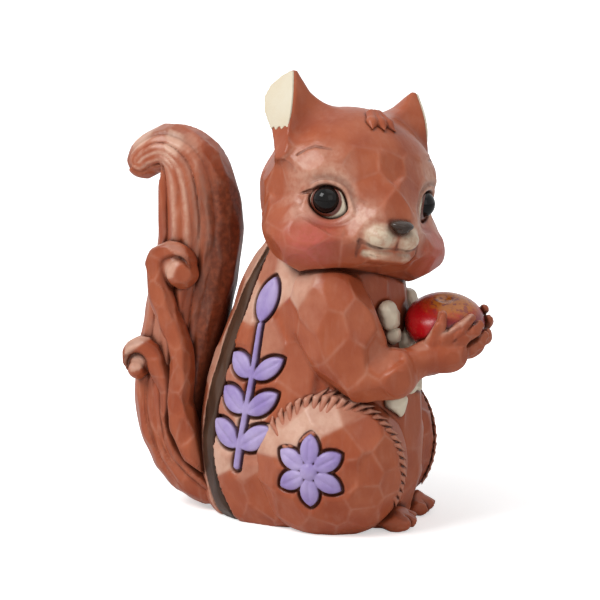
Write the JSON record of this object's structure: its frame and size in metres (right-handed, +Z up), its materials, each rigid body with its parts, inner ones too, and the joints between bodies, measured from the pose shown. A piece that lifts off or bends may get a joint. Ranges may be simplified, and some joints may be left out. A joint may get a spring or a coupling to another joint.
{
  "type": "animal figurine",
  "caption": "Seated chipmunk figurine with turned head, hooked bushy tail and a fruit held in both paws, in painted carved-wood style, standing on a flat base.",
  "frame": {"origin": "on the flat base, midway between the flanks, below the middle of the animal", "axes": "+Z up, the animal faces -Y and its right side is at -X"},
  "size_m": [0.0454, 0.0749, 0.0907],
  "materials": {
    "russet_paint": "satin hand-painted russet with a dark wash in the grooves",
    "dark_band_paint": "satin dark brown paint",
    "cream_paint": "satin ivory paint",
    "eye_gloss": "glossy black",
    "nose_paint": "satin dark grey-brown paint",
    "apple_paint": "gloss red with an ochre crown",
    "lavender_paint": "satin lavender paint",
    "dowel_steel": "plain drawn steel"
  },
  "bodies": {
    "root": {"neck_dowel": "dowel_steel", "tail_dowel": "dowel_steel", "arm_dowel_right": "dowel_steel", "arm_dowel_left": "dowel_steel", "eye_right": "eye_gloss", "eye_left": "eye_gloss", "eye_rim_right": "cream_paint", "eye_rim_left": "cream_paint", "nose": "nose_paint", "apple": "apple_paint", "torso": "russet_paint", "haunch_right": "russet_paint", "haunch_left": "russet_paint", "head": "russet_paint", "ear_lining_right": "cream_paint", "ear_lining_left": "cream_paint", "ear_right": "russet_paint", "ear_left": "russet_paint", "forelock": "russet_paint", "tail": "russet_paint", "tail_curl_upper_right": "russet_paint", "tail_curl_upper_left": "russet_paint", "tail_curl_lower_right": "russet_paint", "tail_curl_lower_left": "russet_paint", "arm_right": "russet_paint", "arm_left": "russet_paint", "hand_right": "russet_paint", "hand_left": "russet_paint", "foot_right": "russet_paint", "foot_left": "russet_paint", "back_stripe_right": "dark_band_paint", "back_stripe_left": "dark_band_paint", "bib": "cream_paint", "haunch_fringe_right": "russet_paint", "haunch_fringe_left": "russet_paint", "flank_sprig_right": "lavender_paint", "flank_sprig_left": "lavender_paint", "haunch_flower_right": "lavender_paint", "haunch_flower_left": "lavender_paint"}
  },
  "joints": []
}
